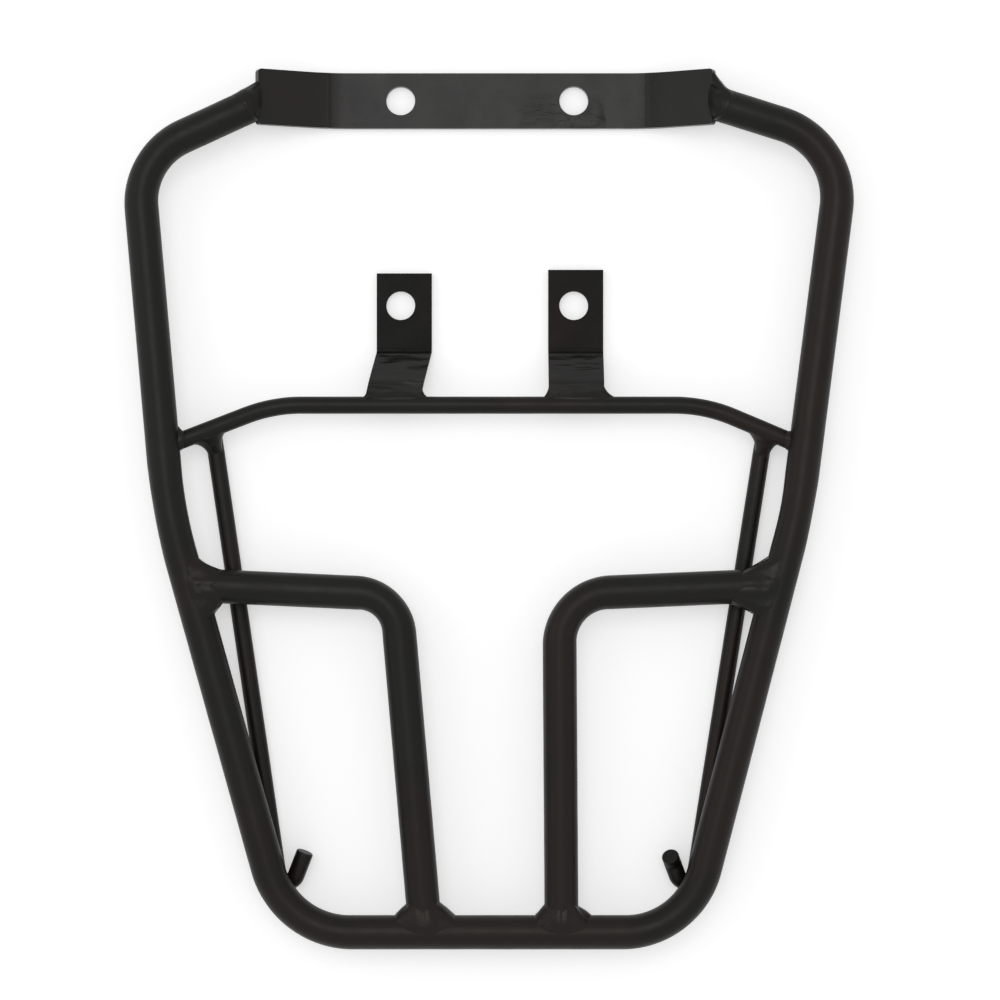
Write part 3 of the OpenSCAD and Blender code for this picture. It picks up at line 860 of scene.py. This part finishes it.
def make_tube_welds(side):
    """The welds at both ends of an inner tube and at one end of the cross rod."""
    label = NAMES[side]
    p, c = inner_path(side), cross_end(side)
    weld_band(label + "_inner_side", p[0], (p[1] - p[0]).normalized(), TUBE_R,
              p[0], towards_front(loop_heading(side, p[0].y)), SIDE_WELD[side], 0.5)
    weld_band(label + "_inner_foot", p[2], (p[1] - p[2]).normalized(), TUBE_R,
              p[2], ACROSS, FOOT_WELD[side], 0.25)
    weld_band(label + "_cross_rod", c, (cross_corner(side) - c).normalized(), ROD_R,
              vec(c, TUBE_Z), towards_front(loop_heading(side, c.y)), ROD_WELD[side], 0.25, count=72)


# How the weld at each end of the strap sits: middle and half width on the strap, and how far it
# runs along the front and the back of the tube, and further along its top
STRAP_WELD = {LEFT: (-2.1, 7.7, 7.0, 3.0, 0.0), RIGHT: (-0.4, 9.3, 4.4, 2.2, 3.2)}


def make_strap_weld(side):
    """The weld from the strap's end face out over the tube's pressed end."""
    end, slope = strap_end(side), strap_slope(side)
    tube = tube_end(side)
    heading = (vec(SHOULDER[side], TUBE_Z) - tube).normalized()
    across = towards_front(heading.cross(UP).normalized())
    strap_up = slope.cross(FORWARD).normalized()
    strap_up = strap_up if strap_up.z > 0 else -strap_up
    shift, half, front_l, back_l, top_l = STRAP_WELD[side]
    # Half sizes where it leaves the strap and where it meets the tube
    on_strap_z, into_strap = 1.55, 0.8
    on_tube_y, on_tube_z = 6.2, 5.75
    steps, count = 14, 64
    rings = []
    for k in range(-1, steps + 1):
        q = max(0.0, k / steps)
        narrowing = 1 - (1 - q) ** 2.2
        ring_now = []
        for j in range(count):
            t = 2 * math.pi * j / count
            c, s = math.cos(t), math.sin(t)
            at_strap = end + FORWARD * (shift + half * corner(c)) + strap_up * (on_strap_z * corner(s))
            if k < 0:
                at_strap -= slope * into_strap
            top = max(0.0, s) ** 2
            run = (front_l + back_l) / 2 + (front_l - back_l) / 2 * c + top_l * top
            on_tube = tube + across * (on_tube_y * c) + UP * (on_tube_z * s)
            p = at_strap.lerp(on_tube, narrowing) + heading * (run * q)
            out = (across * c + UP * s).normalized()
            ring_now.append(p + out * (math.sin(math.pi * q) * (0.15 + 0.5 * top + uneven(p, 3.4, 0.4))))
        rings.append(ring_now)
    middle = tube + heading * 4.0
    rings.append([middle.lerp(p, 0.8) for p in rings[-1]])
    finish_bead(NAMES[side] + "_strap", *skin(rings, (True, True)))


# Width and height of the fillets to the left and the right of each tab's foot
TAB_FILLETS = {LEFT: ((1.8, 3.4), (4.4, 4.8)), RIGHT: ((3.0, 6.6), (6.2, 6.2))}


def tab_height(y):
    """Height of the middle of a tab's thickness."""
    fold = CROSS_Y + TAB_FOOT
    return ROD_Z - max(0.0, y - fold) * (ROD_Z - BAR_T / 2) / TAB_SLOPE


def make_tab_weld(side):
    """Weld over the end of a tab's foot, hollowed to the cross rod on both sides."""
    middle = side * HOLE_X + TAB_SHIFT[side] - TAB_LEAN[side]
    slant = TAB_LEAN[side] / (TAB_FOOT + TAB_SLOPE)
    (left_w, left_h), (right_w, right_h) = TAB_FILLETS[side]
    edge = CROSS_Y + ROD_R - 0.4
    top = edge + max(left_h, right_h)
    start, inset = CROSS_Y + 0.3, 0.25
    half = BAR_W / 2 - inset
    rows, count = [], 26
    for k in range(count + 1):
        y = start + (top - start) * k / count
        low = -half - fillet((y - edge) / left_h, left_w + inset)
        high = half + fillet((y - edge) / right_h, right_w + inset)
        past = max(0.0, y - edge)
        thick = 1.25 + 1.15 * max(0.0, 1 - past / 3.6) ** 1.5
        spot = Vector((middle + slant * (y - CROSS_Y), y, tab_height(y)))
        rows.append((spot, ACROSS, low, high, thick))
    flat_weld(NAMES[side] + "_tab", rows, 96, 0.15)


# Width and length of the fillets on the inner and the outer side of each rail's front end
RAIL_FILLETS = {LEFT: ((3.0, 5.2), (6.2, 6.8)), RIGHT: ((5.6, 5.6), (3.0, 6.6))}


def make_rail_welds(side):
    """The three welds of a side rail: to the cross rod, the inner tube and the main tube."""
    label = NAMES[side] + "_rail"
    a, d = rail_start(side), rail_heading(side)
    rod = (cross_corner(side) - cross_end(side)).normalized()
    level_rod = Vector((rod.x, rod.y, 0)).normalized()
    (in_w, in_l), (out_w, out_l) = RAIL_FILLETS[side]
    # It starts under the rod and sinks towards the rail, a little inside both
    start, length, inset, sink = 0.6, 8.4, 0.3, 0.9
    high_z, low_z = ROD_Z - sink, RAIL_Z + sink
    rows, count = [], 22
    for k in range(count + 1):
        q = start + length * k / count
        past = q - ROD_R + inset
        inner = ROD_R - inset + fillet(past / in_l, in_w + inset)
        outer = ROD_R - inset + fillet(past / out_l, out_w + inset)
        share = min(1.0, max(0.0, past / 6.0))
        z = high_z + (low_z - high_z) * share
        rows.append((Vector((a.x, a.y, z)) + d * q, level_rod, -outer, inner, 2.9 - 0.6 * share))
    flat_weld(label + "_front", rows, 64, 0.45)
    # Where the rail passes under the inner tube
    across = d.cross(UP).normalized()
    q = rail_crossing(side)
    blob(label + "_middle", Vector((q.x, q.y - 0.3, TUBE_Z - TUBE_R - 0.1)), (across, d, UP),
         (3.2, 4.6, 1.9), 0.4)
    # A long bead between the rail and the main tube
    b = rail_stop(side)
    seat = (on_loop(side, b.y) - b).normalized()
    blob(label + "_rear", b + seat * ROD_R - d * 7.5, (d, d.cross(seat).normalized(), seat),
         (5.6, 2.7, 2.0), 0.35)


# ---- the whole ---------------------------------------------------------------

bpy.context.scene.view_settings.view_transform = "Standard"
make_camera()
make_world()
make_floor()
make_lamp("top_softbox", (-0.12, 0.30, 1.75), (0.0, -0.05, 0.0), 0.9, 1.0, 6.5)
make_lamp("left_softbox", (-1.4, 0.2, 0.9), (0.0, -0.1, 0.0), 0.8, 1.2, 1.6)

make_main_tube()
make_cross_rod()
for side in SIDES:
    make_inner_tube(side)
    make_side_rail(side)
    make_strap_weld(side)
    make_tab_weld(side)
    make_rail_welds(side)
    make_tube_welds(side)
strap_lift = TUBE_Z - BAR_T / 2
strap_folds = [(STRAP_FLAT[side], strap_lift / abs(STRAP_END[side] - STRAP_FLAT[side])) for side in SIDES]
soft_edged("front_strap", strap_paint(), 0.0006, strap_folds, 0.0012)
tab_black = tab_paint()
for side in SIDES:
    soft_edged(NAMES[side] + "_tab", tab_black, 0.0004)
